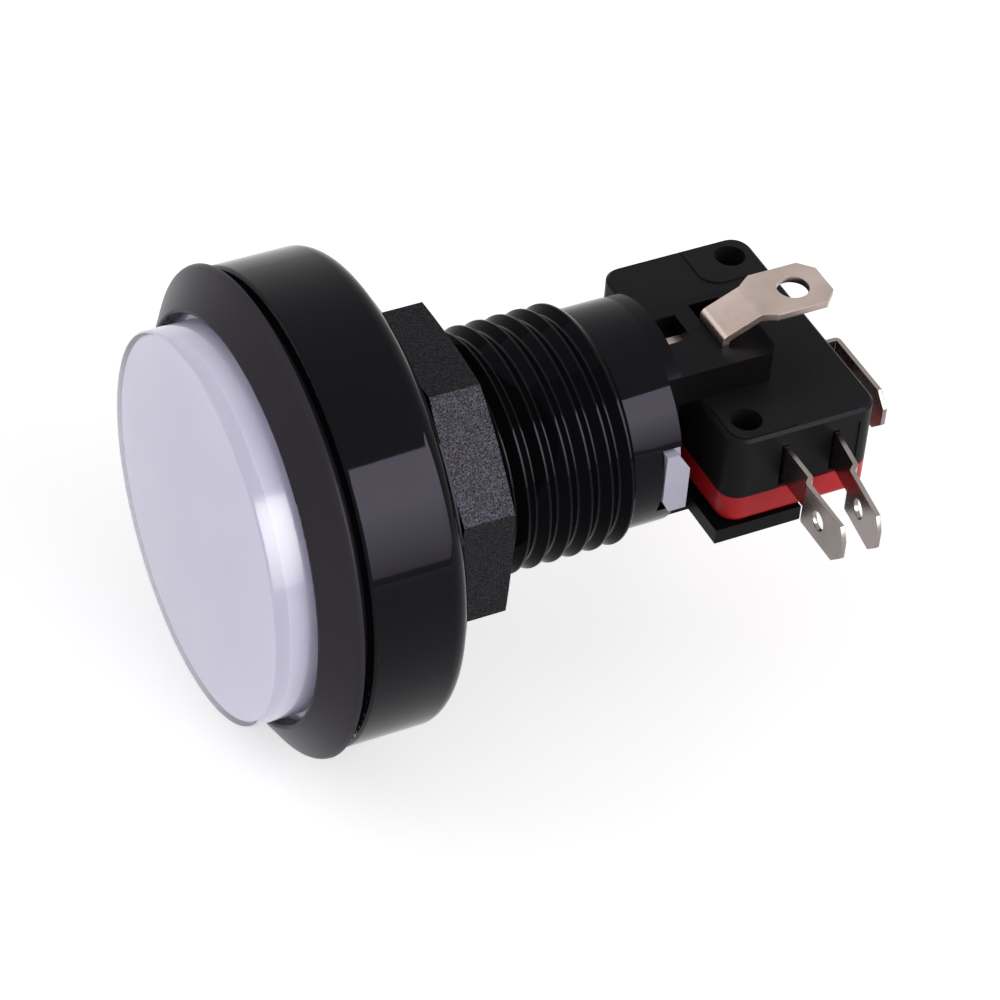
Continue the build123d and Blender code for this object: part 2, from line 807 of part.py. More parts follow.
def make_parts():
    """Every piece of the button by its node name."""
    lamp_terminal = make_lamp_terminal_upper()
    return {
        "housing": make_housing(),
        "bezel_ring": make_bezel_ring(),
        "lens_cover": make_lens_cover(),
        "diffuser": make_diffuser(),
        "plunger": make_plunger(),
        "return_spring": make_return_spring(),
        "mounting_nut": make_mounting_nut(),
        "lamp_holder": make_lamp_holder(),
        "lamp_base": make_lamp_base(),
        "lamp_bulb": make_lamp_bulb(),
        "lamp_leads": make_lamp_leads(),
        "lamp_terminal_upper": lamp_terminal,
        "lamp_terminal_lower": mirror(lamp_terminal, Plane.XY),
        "switch_case": make_switch_case(),
        "switch_cover": make_switch_cover(),
        "switch_pin": make_switch_pin(),
        "terminal_common": make_terminal_common(),
        "terminal_normally_closed": changeover_terminal(closed_place, 0.0),
        "terminal_normally_open": changeover_terminal(open_place, open_tab_lean),
        "contact_normally_closed": make_contact_normally_closed(),
        "contact_normally_open": make_contact_normally_open(),
        "contact_blade": make_contact_blade(),
        "moving_contact": make_moving_contact(),
        "snap_spring": make_snap_spring(),
    }


os.makedirs("parts", exist_ok=True)
for node, piece in make_parts().items():
    export_step(piece, os.path.join("parts", node + ".step"))
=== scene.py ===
"""Looks of the round illuminated arcade push button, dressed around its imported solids."""
from __future__ import annotations

import json
import logging
import math
from dataclasses import dataclass
from enum import Enum

import bpy
from mathutils import Matrix, Vector

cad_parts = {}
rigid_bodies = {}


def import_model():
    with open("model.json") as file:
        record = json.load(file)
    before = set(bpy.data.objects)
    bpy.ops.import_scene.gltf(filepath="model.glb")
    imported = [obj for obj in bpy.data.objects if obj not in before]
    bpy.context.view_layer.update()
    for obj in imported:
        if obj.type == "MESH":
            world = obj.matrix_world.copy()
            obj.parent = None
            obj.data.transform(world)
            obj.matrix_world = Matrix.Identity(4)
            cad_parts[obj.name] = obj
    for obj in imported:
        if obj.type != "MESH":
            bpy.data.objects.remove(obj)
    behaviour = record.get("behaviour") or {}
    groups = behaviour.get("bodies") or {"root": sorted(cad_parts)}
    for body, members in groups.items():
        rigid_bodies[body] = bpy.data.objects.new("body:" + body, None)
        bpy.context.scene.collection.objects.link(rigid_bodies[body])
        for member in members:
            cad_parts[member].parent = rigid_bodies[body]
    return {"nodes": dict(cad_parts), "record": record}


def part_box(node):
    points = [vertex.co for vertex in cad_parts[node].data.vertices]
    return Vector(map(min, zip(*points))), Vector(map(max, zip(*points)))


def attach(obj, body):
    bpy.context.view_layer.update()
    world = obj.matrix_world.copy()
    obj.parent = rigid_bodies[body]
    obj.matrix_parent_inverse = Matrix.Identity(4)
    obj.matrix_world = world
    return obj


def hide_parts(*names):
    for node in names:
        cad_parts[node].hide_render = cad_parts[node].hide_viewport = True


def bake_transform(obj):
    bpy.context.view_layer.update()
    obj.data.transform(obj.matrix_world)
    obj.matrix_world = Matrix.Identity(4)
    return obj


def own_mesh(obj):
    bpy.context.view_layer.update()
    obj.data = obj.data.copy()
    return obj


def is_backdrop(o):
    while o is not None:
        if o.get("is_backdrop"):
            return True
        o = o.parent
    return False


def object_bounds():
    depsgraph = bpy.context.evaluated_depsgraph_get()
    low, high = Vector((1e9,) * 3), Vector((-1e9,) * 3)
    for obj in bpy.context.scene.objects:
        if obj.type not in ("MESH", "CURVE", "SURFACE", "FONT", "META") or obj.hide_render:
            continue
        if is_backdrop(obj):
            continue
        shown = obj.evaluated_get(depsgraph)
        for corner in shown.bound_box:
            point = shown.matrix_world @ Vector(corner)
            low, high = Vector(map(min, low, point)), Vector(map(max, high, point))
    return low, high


LOG = logging.getLogger("push_button")
MM = 0.001
# A place along the axis in front of the whole button, in millimetres
FAR_FRONT = -20.0


class Ray(Enum):
    """Rays that see the white studio background."""

    CAMERA = "Is Camera Ray"
    GLOSSY = "Is Glossy Ray"
    TRANSMISSION = "Is Transmission Ray"


class Grain(Enum):
    """How a moulded surface was left by its tool."""

    POLISHED = "polished"
    SATIN = "satin"
    SPARK = "spark"


# How many finer layers each grain has
GRAIN_DETAIL = {Grain.POLISHED: 2.0, Grain.SATIN: 6.0, Grain.SPARK: 3.0}


def linear(code: str) -> tuple[float, float, float, float]:
    """Turns an sRGB hex code into a linear colour.

    Args:
        code: six hex digits, with or without a leading hash.

    Returns:
        Linear red, green and blue, with alpha 1.
    """
    digits = code.lstrip("#")
    shares = [int(digits[i : i + 2], 16) / 255 for i in (0, 2, 4)]
    red, green, blue = (s / 12.92 if s <= 0.04045 else ((s + 0.055) / 1.055) ** 2.4 for s in shares)
    return red, green, blue, 1.0


def add(
    tree: bpy.types.NodeTree, kind: str, inputs: dict | None = None, **settings
) -> bpy.types.Node:
    """Adds one node with its settings, and feeds its sockets.

    Args:
        tree: the node tree to add to.
        kind: the node's type name.
        inputs: socket name or number to a value, or to another node's output socket.
        **settings: the node's own properties.

    Returns:
        The new node.
    """
    node = tree.nodes.new(kind)
    for name, value in settings.items():
        setattr(node, name, value)
    for name, value in (inputs or {}).items():
        if isinstance(value, bpy.types.NodeSocket):
            tree.links.new(value, node.inputs[name])
        else:
            node.inputs[name].default_value = value
    return node


def fresh_material(name: str) -> tuple[bpy.types.Material, bpy.types.NodeTree]:
    """Makes an empty node material.

    Args:
        name: the material's name.

    Returns:
        The material and its node tree.
    """
    material = bpy.data.materials.new(name)
    material.use_nodes = True
    material.node_tree.nodes.clear()
    return material, material.node_tree


def per_metre(size_mm: float) -> float:
    """Gives the texture scale of a pattern.

    Args:
        size_mm: length of one repeat, in millimetres.

    Returns:
        Repeats in a metre.
    """
    return 1 / (size_mm * MM)


def noise(
    tree: bpy.types.NodeTree, place: bpy.types.NodeSocket, size_mm: float, detail: float
) -> bpy.types.NodeSocket:
    """Adds a cloudy pattern.

    Args:
        tree: the material's node tree.
        place: the coordinates to use.
        size_mm: size of its largest clouds, in millimetres.
        detail: how many finer layers it has.

    Returns:
        The output that holds the pattern.
    """
    looks = {"Vector": place, "Scale": per_metre(size_mm), "Detail": detail}
    return add(tree, "ShaderNodeTexNoise", looks).outputs["Fac"]


def combine(
    tree: bpy.types.NodeTree,
    operation: str,
    first: bpy.types.NodeSocket,
    second: float | bpy.types.NodeSocket,
) -> bpy.types.NodeSocket:
    """Works out one value from two.

    Args:
        tree: the material's node tree.
        operation: the kind of sum.
        first: the first value's output.
        second: the second value, or its output.

    Returns:
        The output that holds the result.
    """
    return add(tree, "ShaderNodeMath", {0: first, 1: second}, operation=operation).outputs["Value"]


def spread(
    tree: bpy.types.NodeTree,
    pattern: bpy.types.NodeSocket,
    middle: float,
    shares: tuple[float, float],
) -> bpy.types.NodeSocket:
    """Turns a pattern from 0 to 1 into a value about a middle.

    Args:
        tree: the material's node tree.
        pattern: the pattern's output.
        middle: the value to spread about.
        shares: shares of the middle where the pattern is 0 and where it is 1.

    Returns:
        The output that holds the value.
    """
    low, high = shares
    limits = {"Value": pattern, "To Min": middle * low, "To Max": middle * high}
    return add(tree, "ShaderNodeMapRange", limits).outputs["Result"]


def shade(
    tree: bpy.types.NodeTree,
    pattern: bpy.types.NodeSocket,
    stops: tuple[float, float],
    codes: tuple[str, str],
) -> bpy.types.NodeSocket:
    """Turns a pattern from 0 to 1 into a colour.

    Args:
        tree: the material's node tree.
        pattern: the pattern's output.
        stops: two places in the pattern.
        codes: the hex colour at each of them.

    Returns:
        The output that holds the colour.
    """
    ramp = add(tree, "ShaderNodeValToRGB", {"Fac": pattern})
    for element, position, code in zip(ramp.color_ramp.elements, stops, codes):
        element.position = position
        element.color = linear(code)
    return ramp.outputs["Color"]


def close_tree(tree: bpy.types.NodeTree, surface: bpy.types.NodeSocket) -> None:
    """Joins a shader to the material's output.

    Args:
        tree: the material's node tree.
        surface: the shader's output.
    """
    add(tree, "ShaderNodeOutputMaterial", {"Surface": surface})


@dataclass(frozen=True)
class MouldedPlastic:
    """Injection-moulded plastic: even colour, a skin from the tool and faint flow marks."""

    name: str
    colour: str
    flow_colour: str
    roughness: float
    gloss: float
    grain: Grain
    grain_mm: float
    grain_depth: float
    sheen: str = "#ffffff"
    flow_mm: float = 14.0
    flow_detail: float = 3.0
    flow_stops: tuple[float, float] = (0.3, 0.7)
    flow_roughness: tuple[float, float] = (0.85, 1.2)
    fine_share: float = 0.6
    glints: tuple[float, float] = (0.0, 3.0)

    def material(self) -> bpy.types.Material:
        """Builds the material.

        Returns:
            The finished material.
        """
        material, tree = fresh_material(self.name)
        place = add(tree, "ShaderNodeTexCoord").outputs["Object"]
        flow = noise(tree, place, self.flow_mm, self.flow_detail)
        relief = {"Height": self.relief(tree, place), "Distance": self.grain_depth * MM}
        looks = {
            "Base Color": shade(tree, flow, self.flow_stops, (self.colour, self.flow_colour)),
            "Roughness": spread(tree, flow, self.roughness, self.flow_roughness),
            "Specular IOR Level": self.mirroring(tree, place),
            "Specular Tint": linear(self.sheen),
            "Normal": add(tree, "ShaderNodeBump", relief).outputs["Normal"],
        }
        close_tree(tree, add(tree, "ShaderNodeBsdfPrincipled", looks).outputs["BSDF"])
        return material

    def relief(self, tree: bpy.types.NodeTree, place: bpy.types.NodeSocket) -> bpy.types.NodeSocket:
        """Makes the height pattern of the tool's surface.

        Args:
            tree: the material's node tree.
            place: the coordinates to use.

        Returns:
            The output that holds the height.
        """
        detail = GRAIN_DETAIL[self.grain]
        if self.grain is Grain.SPARK:
            rough = noise(tree, place, self.grain_mm * self.fine_share, detail)
            return combine(tree, "ADD", self.pits(tree, place), rough)
        return noise(tree, place, self.grain_mm, detail)

    def pits(self, tree: bpy.types.NodeTree, place: bpy.types.NodeSocket) -> bpy.types.NodeSocket:
        """Makes the pits that sparks burn into a tool.

        Args:
            tree: the material's node tree.
            place: the coordinates to use.

        Returns:
            The output that holds the distance to the nearest pit's middle.
        """
        cells = {"Vector": place, "Scale": per_metre(self.grain_mm)}
        return add(tree, "ShaderNodeTexVoronoi", cells, feature="SMOOTH_F1").outputs["Distance"]

    def mirroring(
        self, tree: bpy.types.NodeTree, place: bpy.types.NodeSocket
    ) -> float | bpy.types.NodeSocket:
        """Says how strongly the surface mirrors, which differs from pit to pit on a spark grain.

        Args:
            tree: the material's node tree.
            place: the coordinates to use.

        Returns:
            A number, or the output that holds it.
        """
        if self.grain is Grain.SPARK:
            return spread(tree, self.pits(tree, place), self.gloss, self.glints)
        return self.gloss


@dataclass(frozen=True)
class GrooveShadedPlastic(MouldedPlastic):
    """Moulded plastic with a thread, whose flanks mirror less: painted shade that darkens the thread's
    grooves.

    The flanks lie between the radii root_mm, just outside the root, and crest_mm, just inside the crest.
    """

    root_mm: float = 11.34
    crest_mm: float = 12.02
    groove_shade_share: float = 0.2

    def mirroring(
        self, tree: bpy.types.NodeTree, place: bpy.types.NodeSocket
    ) -> float | bpy.types.NodeSocket:
        """Says how strongly the surface mirrors, which is less between the thread's root and crest, as
        painted shade in the grooves.

        Args:
            tree: the material's node tree.
            place: the coordinates to use.

        Returns:
            The output that holds it.
        """
        behind = add(tree, "ShaderNodeSeparateXYZ", {"Vector": place}).outputs["Y"]
        across = {0: place, 1: (1.0, 0.0, 1.0)}
        flat = add(tree, "ShaderNodeVectorMath", across, operation="MULTIPLY").outputs["Vector"]
        radius = add(tree, "ShaderNodeVectorMath", {0: flat}, operation="LENGTH").outputs["Value"]
        inside = combine(tree, "LESS_THAN", radius, self.crest_mm * MM)
        outside = combine(tree, "GREATER_THAN", radius, self.root_mm * MM)
        between = combine(tree, "MULTIPLY", inside, outside)
        # Painted shade: the thread's flanks behind the axis's zero mirror only a share of the gloss, so
        # the grooves look darker
        groove_shade = combine(tree, "MULTIPLY", between, combine(tree, "GREATER_THAN", behind, 0.0))
        return spread(tree, groove_shade, self.gloss, (1.0, self.groove_shade_share))


@dataclass(frozen=True)
class ClearAcrylic:
    """Clear plastic: light goes through it, and rubbing softens its highlights here and there."""

    name: str
    colour: str
    roughness: float
    gloss: float
    ior: float = 1.49
    rub_mm: float = 6.0
    rub_detail: float = 5.0
    rub_roughness: tuple[float, float] = (0.4, 1.0)

    def material(self) -> bpy.types.Material:
        """Builds the material.

        Returns:
            The finished material.
        """
        material, tree = fresh_material(self.name)
        place = add(tree, "ShaderNodeTexCoord").outputs["Object"]
        rubbing = noise(tree, place, self.rub_mm, self.rub_detail)
        looks = {
            "Base Color": linear(self.colour),
            "Roughness": spread(tree, rubbing, self.roughness, self.rub_roughness),
            "IOR": self.ior,
            "Specular IOR Level": self.gloss,
            "Transmission Weight": 1.0,
        }
        close_tree(tree, add(tree, "ShaderNodeBsdfPrincipled", looks).outputs["BSDF"])
        return material


@dataclass(frozen=True)
class MilkyPlastic:
    """Diffuser plastic: light spreads inside it, so its edges glow a little."""

    name: str
    colour: str
    cloud_colour: str
    roughness: float
    depth_mm: float
    cloud_mm: float = 9.0
    cloud_detail: float = 3.0
    cloud_stops: tuple[float, float] = (0.3, 0.7)
    depth_share: float = 0.5
    depth_tint: tuple[float, float, float] = (1.0, 0.95, 1.0)

    def material(self) -> bpy.types.Material:
        """Builds the material.

        Returns:
            The finished material.
        """
        material, tree = fresh_material(self.name)
        place = add(tree, "ShaderNodeTexCoord").outputs["Object"]
        cloud = noise(tree, place, self.cloud_mm, self.cloud_detail)
        looks = {
            "Base Color": shade(tree, cloud, self.cloud_stops, (self.colour, self.cloud_colour)),
            "Roughness": self.roughness,
            "Subsurface Weight": self.depth_share,
            "Subsurface Radius": self.depth_tint,
            "Subsurface Scale": self.depth_mm * MM,
        }
        close_tree(tree, add(tree, "ShaderNodeBsdfPrincipled", looks).outputs["BSDF"])
        return material


@dataclass(frozen=True)
class PlatedMetal:
    """Rolled and plated strip: fine lines along the rolling direction and soft stains."""

    name: str
    colour: str
    stain_colour: str
    roughness: float
    lines: tuple[float, float, float]
    line_depth: float = 0.005
    line_roughness: tuple[float, float] = (0.75, 1.3)
    stain_mm: float = 5.0
    stain_stops: tuple[float, float] = (0.35, 0.62)
    detail: float = 4.0

    def material(self) -> bpy.types.Material:
        """Builds the material.

        Returns:
            The finished material.
        """
        material, tree = fresh_material(self.name)
        place = add(tree, "ShaderNodeTexCoord").outputs["Object"]
        scale = tuple(per_metre(size) for size in self.lines)
        along = add(tree, "ShaderNodeMapping", {"Vector": place, "Scale": scale}).outputs["Vector"]
        lines = {"Vector": along, "Scale": 1.0, "Detail": self.detail}
        rolled = add(tree, "ShaderNodeTexNoise", lines).outputs["Fac"]
        stain = noise(tree, place, self.stain_mm, self.detail)
        relief = {"Height": rolled, "Distance": self.line_depth * MM}
        looks = {
            "Base Color": shade(tree, stain, self.stain_stops, (self.stain_colour, self.colour)),
            "Metallic": 1.0,
            "Roughness": spread(tree, rolled, self.roughness, self.line_roughness),
            "Normal": add(tree, "ShaderNodeBump", relief).outputs["Normal"],
        }
        close_tree(tree, add(tree, "ShaderNodeBsdfPrincipled", looks).outputs["BSDF"])
        return material


Finish = MouldedPlastic | ClearAcrylic | MilkyPlastic | PlatedMetal


class Finishes:
    """The button's finishes, each made once and shared by its pieces."""

    # Carbon black leaves a faint violet in what the black plastics reflect
    VIOLET = "#f0e8ff"
    # Polished tool: deep black that mirrors the softbox as one patch, and bright crests over dark
    # grooves, partly real shade and partly painted shade from the flanks' lower mirroring
    gloss_abs = GrooveShadedPlastic(
        "abs_black_gloss", "#09090b", "#0c0c0e", 0.05, 0.1, Grain.POLISHED, 3.0, 0.002, VIOLET
    )
    # The ring's tool was polished less, so its cone is rougher; its grey base colour is painted sheen, a
    # soft grey in place of a patch
    ring_abs_painted_sheen = MouldedPlastic(
        "abs_black_ring_painted_sheen", "#363338", "#3a373c", 0.3, 0.06, Grain.POLISHED, 3.0, 0.002, VIOLET
    )
    # Spark-eroded tool: small glints all over a black ground, drawn a little coarser than real
    nut_abs = MouldedPlastic(
        "abs_black_spark_grain", "#0c0c0e", "#101012", 0.05, 0.095, Grain.SPARK, 0.17, 0.03, VIOLET
    )
    # Fine blasted tool: the holder stays a flat, quiet black
    nylon = MouldedPlastic(
        "nylon_black_satin", "#0a0a0b", "#0d0d0e", 0.36, 0.07, Grain.SATIN, 0.8, 0.008, VIOLET
    )
    # Filled plastic: a dull black with soft, wide highlights at the switch's edges
    case_pbt = MouldedPlastic(
        "pbt_black_satin", "#1a1a1b", "#1d1d1e", 0.36, 0.05, Grain.SATIN, 0.6, 0.01, VIOLET
    )
    # Same plastic dyed right through: a strong, even red that darkens under the case
    red_pbt = MouldedPlastic(
        "pbt_red_satin", "#b0181f", "#b81c24", 0.36, 0.2, Grain.SATIN, 0.8, 0.008
    )
    # Slippery bearing plastic: a cool, slightly waxy white
    acetal = MouldedPlastic("acetal_white", "#b8b5c6", "#bfbccd", 0.4, 0.3, Grain.SATIN, 0.8, 0.008)
    # Lamp base: a warm ivory, apart from the cool whites of the head
    lamp_pbt = MouldedPlastic("pbt_ivory", "#d8d2c2", "#e0dacb", 0.4, 0.4, Grain.SATIN, 0.8, 0.008)
    # Clear cap, rubbed by hands: a bright, soft-edged patch and a thin bright line along its rim
    acrylic = ClearAcrylic("acrylic_clear", "#fbfaff", 0.2, 0.22)
    # Cast capsule: clear with a warm tinge
    lamp_epoxy = ClearAcrylic("epoxy_clear", "#f6f4ea", 0.08, 0.5, 1.52)
    # Cloudy sheet under the lens: an even, cool white that fills the lens
    milky = MilkyPlastic("polycarbonate_milky", "#e3dff4", "#e8e5f8", 0.5, 1.5)
    # Nickel over rolled strip: warm grey with fine lines along the strip
    nickel = PlatedMetal(
        "nickel_plated_strip", "#b9a9a2", "#a8988f", 0.3, (0.25, 6.0, 0.25), 0.012
    )
    # Silver plate dulled by air: soft grey blades with bright edges
    silver = PlatedMetal(
        "silver_plated_brass", "#958c88", "#857c78", 0.24, (3.0, 0.12, 0.12), 0.004
    )
    # Drawn wire: a plain steel grey
    wire = PlatedMetal("spring_steel_wire", "#8f8f92", "#7c7c80", 0.3, (0.3, 0.3, 0.3))
    # Dipped tin: pale and soft
    tinned = PlatedMetal("tinned_copper_wire", "#b8b8b6", "#a5a29c", 0.35, (0.3, 2.0, 0.3))
    # Rolled spring strip: a brown gold
    bronze = PlatedMetal("spring_bronze_strip", "#b08a58", "#9a7444", 0.3, (3.0, 0.12, 0.12))
    # Pressed contact heads: clean pale silver
    contact = PlatedMetal("contact_silver", "#d6d4d0", "#bdb9b2", 0.25, (0.4, 0.4, 0.4))

    def __init__(self) -> None:
        """Starts with no material made."""
        self.made: dict[str, bpy.types.Material] = {}

    def get(self, finish: Finish) -> bpy.types.Material:
        """Gives a finish's material, and makes it the first time.

        Args:
            finish: the finish to use.

        Returns:
            Its material.
        """
        if finish.name not in self.made:
            self.made[finish.name] = finish.material()
        return self.made[finish.name]


class Bench:
    """Hand tools that shape one new piece, in the part's own frame."""

    # Points of a new piece that lie closer than this are one, in metres
    WELD = 1e-7
    # The same for a copied solid, whose points are rounded
    SOLID_WELD = 2e-6
    # Faces of a solid that meet at less than this are one flat face, in degrees
    FLAT_ANGLE = 0.4
    # Edges sharper than this get broken, in degrees
    BREAK_ANGLE = 34.0
    # Edges of a new piece sharper than this stay sharp, in degrees
    SHARP_ANGLE = 32.0
    # Faces of a solid that meet at less than this flow into each other, in degrees
    FLOW_ANGLE = 40.0

    @staticmethod
    def clear() -> None:
        """Leaves edit mode and deselects everything."""
        if bpy.context.object and bpy.context.object.mode != "OBJECT":
            bpy.ops.object.mode_set(mode="OBJECT")
        bpy.ops.object.select_all(action="DESELECT")

    @staticmethod
    def lathe(name: str, profile: list[tuple[float, float]], segments: int) -> bpy.types.Object:
        """Turns a closed piece about the button's axis, ring by ring, and fills both ends.

        Args:
            name: the new piece's name.
            profile: radius and place along the axis of each ring, in millimetres.
            segments: how many points each ring has.

        Returns:
            The new piece.
        """
        Bench.clear()
        radius, place = profile[0]
        bpy.ops.mesh.primitive_circle_add(
            vertices=segments,
            radius=radius * MM,
            fill_type="NGON",
            location=(0, place * MM, 0),
            rotation=(math.pi / 2, 0, 0),
        )
        piece = bpy.context.object
        piece.name = name
        bpy.ops.object.transform_apply(location=True, rotation=True)
        bpy.ops.object.mode_set(mode="EDIT")
        bpy.ops.mesh.select_all(action="SELECT")
        bpy.ops.mesh.select_mode(type="EDGE")
        for wide, far in profile[1:]:
            step = {"value": (0, (far - place) * MM, 0)}
            bpy.ops.mesh.extrude_edges_move(TRANSFORM_OT_translate=step)
            grow = wide / radius
            bpy.ops.transform.resize(value=(grow, 1, grow), center_override=(0, far * MM, 0))
            radius, place = wide, far
        bpy.ops.mesh.edge_face_add()
        bpy.ops.mesh.select_all(action="SELECT")
        bpy.ops.mesh.remove_doubles(threshold=Bench.WELD)
        bpy.ops.mesh.normals_make_consistent(inside=False)
        bpy.ops.object.mode_set(mode="OBJECT")
        return piece

    @staticmethod
    def arc(
        centre: tuple[float, float], radius: float, start: float, end: float, steps: int
    ) -> list[tuple[float, float]]:
        """Gives the points of a rounded corner in a profile.

        Args:
            centre: the corner's centre.
            radius: its radius.
            start: angle of the first point, in degrees.
            end: angle of the last point, in degrees.
            steps: how many pieces it has.

        Returns:
            The points, both ends included.
        """
        angles = [math.radians(start + (end - start) * i / steps) for i in range(steps + 1)]
        return [(centre[0] + radius * math.cos(a), centre[1] + radius * math.sin(a)) for a in angles]

    @staticmethod
    def smooth(piece: bpy.types.Object, angle: float = SHARP_ANGLE) -> None:
        """Shades a piece smooth, apart from its sharp edges.

        Args:
            piece: the piece.
            angle: edges sharper than this stay sharp, in degrees.
        """
        Bench.clear()
        piece.select_set(True)
        bpy.context.view_layer.objects.active = piece
        bpy.ops.object.shade_smooth_by_angle(angle=math.radians(angle))

    @staticmethod
    def soften(
        node: bpy.types.Object, name: str, width: float, flow: float, start: float
    ) -> bpy.types.Object:
        """Copies a solid and breaks its sharp edges, as its tool left them.

        Args:
            node: the solid to copy.
            name: the copy's name.
            width: how wide the broken edges are, in millimetres.
            flow: faces that meet at less than this flow into each other, in degrees.
            start: edges in front of this place along the axis stay as they are, in millimetres.

        Returns:
            The new piece.
        """
        Bench.clear()
        piece = bpy.data.objects.new(name, node.data.copy())
        bpy.context.scene.collection.objects.link(piece)
        piece.select_set(True)
        bpy.context.view_layer.objects.active = piece
        bpy.ops.mesh.customdata_custom_splitnormals_clear()
        bpy.ops.object.mode_set(mode="EDIT")
        bpy.ops.mesh.select_all(action="SELECT")
        bpy.ops.mesh.remove_doubles(threshold=Bench.SOLID_WELD)
        bpy.ops.mesh.dissolve_limited(angle_limit=math.radians(Bench.FLAT_ANGLE))
        bpy.ops.mesh.select_mode(type="EDGE")
        bpy.ops.mesh.select_all(action="DESELECT")
        bpy.ops.mesh.edges_select_sharp(sharpness=math.radians(Bench.BREAK_ANGLE))
        bpy.ops.object.mode_set(mode="OBJECT")
        points = piece.data.vertices
        broken = piece.data.attributes.new("bevel_weight_edge", "FLOAT", "EDGE")
        for line in piece.data.edges:
            if line.select and min(points[end].co.y for end in line.vertices) >= start * MM:
                broken.data[line.index].value = 1.0
        edge = piece.modifiers.new("broken_edges", "BEVEL")
        edge.width = width * MM
        edge.segments = 2
        edge.limit_method = "WEIGHT"
        edge.harden_normals = False
        bpy.ops.object.modifier_apply(modifier=edge.name)
        Bench.smooth(piece, flow)
        flats = piece.modifiers.new("flat_faces_first", "WEIGHTED_NORMAL")
        flats.mode = "FACE_AREA"
        flats.weight = 100
        flats.keep_sharp = True
        bpy.ops.object.modifier_apply(modifier=flats.name)
        return piece


@dataclass
class Assembly:
    """A group of the button's solids that belong together, and the finish of each."""

    nodes: dict[str, bpy.types.Object]
    record: dict
    finishes: Finishes

    def dress(self, node: str, finish: Finish) -> None:
        """Gives a solid its finish.

        Args:
            node: the solid's name.
            finish: the finish it gets.
        """
        mesh = self.nodes[node].data
        mesh.materials.clear()
        mesh.materials.append(self.finishes.get(finish))
        LOG.info("%s: %s", node, finish.name)

    def slot_of(self, node: str) -> str:
        """Gives the record's material slot of a solid.

        Args:
            node: the solid's name.

        Returns:
            The slot's name.
        """
        return next(s["material_slot"] for s in self.record["subparts"] if s["node"] == node)

    def seat(self, piece: bpy.types.Object, node: str, finish: Finish) -> None:
        """Puts a new piece in the place of a solid, on the same body.

        Args:
            piece: the new piece.
            node: the solid that it stands for.
            finish: the finish it gets.
        """
        piece.data.materials.clear()
        piece.data.materials.append(self.finishes.get(finish))
        bodies = self.record["behaviour"]["bodies"]
        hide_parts(node)
        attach(piece, next(body for body, held in bodies.items() if node in held))
        LOG.info("%s for %s: %s", piece.name, node, finish.name)

    def edge(
        self,
        node: str,
        finish: Finish,
        width: float,
        flow: float = Bench.FLOW_ANGLE,
        start: float = FAR_FRONT,
    ) -> None:
        """Puts a copy with broken edges in the place of a solid.

        Args:
            node: the solid's name.
            finish: the finish it gets.
            width: how wide the broken edges are, in millimetres.
            flow: faces that meet at less than this flow into each other, in degrees.
            start: edges in front of this place along the axis stay as they are, in millimetres.
        """
        piece = Bench.soften(self.nodes[node], f"{node}_moulding", width, flow, start)
        self.seat(piece, node, finish)


